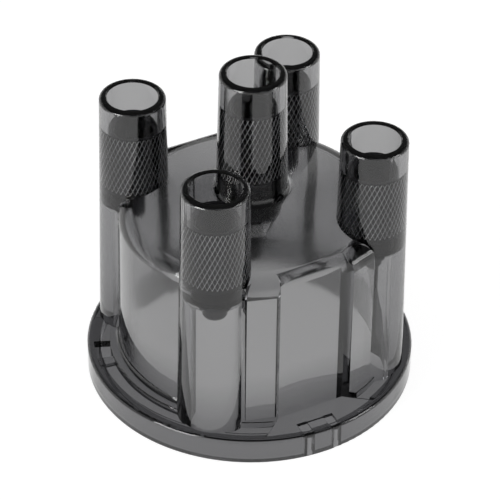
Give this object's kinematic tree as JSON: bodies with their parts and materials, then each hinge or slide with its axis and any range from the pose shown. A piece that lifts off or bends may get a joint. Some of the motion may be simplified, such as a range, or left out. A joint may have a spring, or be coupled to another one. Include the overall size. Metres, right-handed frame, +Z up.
{
  "type": "distributor cap",
  "caption": "Smoked clear distributor cap with upright lead towers, moulded-in terminals and a sprung carbon brush under its roof.",
  "frame": {"origin": "centre of the flange's underside", "axes": "+Z up along the centre tower; the clip seats lie at +Y and -Y"},
  "size_m": [0.08, 0.08, 0.0844],
  "materials": {
    "clear_plastic": "smoked clear polycarbonate, polished",
    "terminal_metal": "turned and knurled",
    "spring_steel": "drawn wire",
    "carbon": "pressed carbon"
  },
  "bodies": {
    "cap": {"cap_body": "clear_plastic", "outer_terminal_1": "terminal_metal", "outer_terminal_2": "terminal_metal", "outer_terminal_3": "terminal_metal", "outer_terminal_4": "terminal_metal", "centre_terminal": "terminal_metal", "brush_spring": "spring_steel"},
    "brush": {"carbon_brush": "carbon"}
  },
  "joints": [
    {"name": "brush_slide", "type": "slide", "parent": "cap", "child": "brush", "axis": [0, 0, 1], "range_m": [0, 0.003], "stiffness_N_per_m": 150, "springref_m": -0.006, "deforming": ["brush_spring"]}
  ]
}
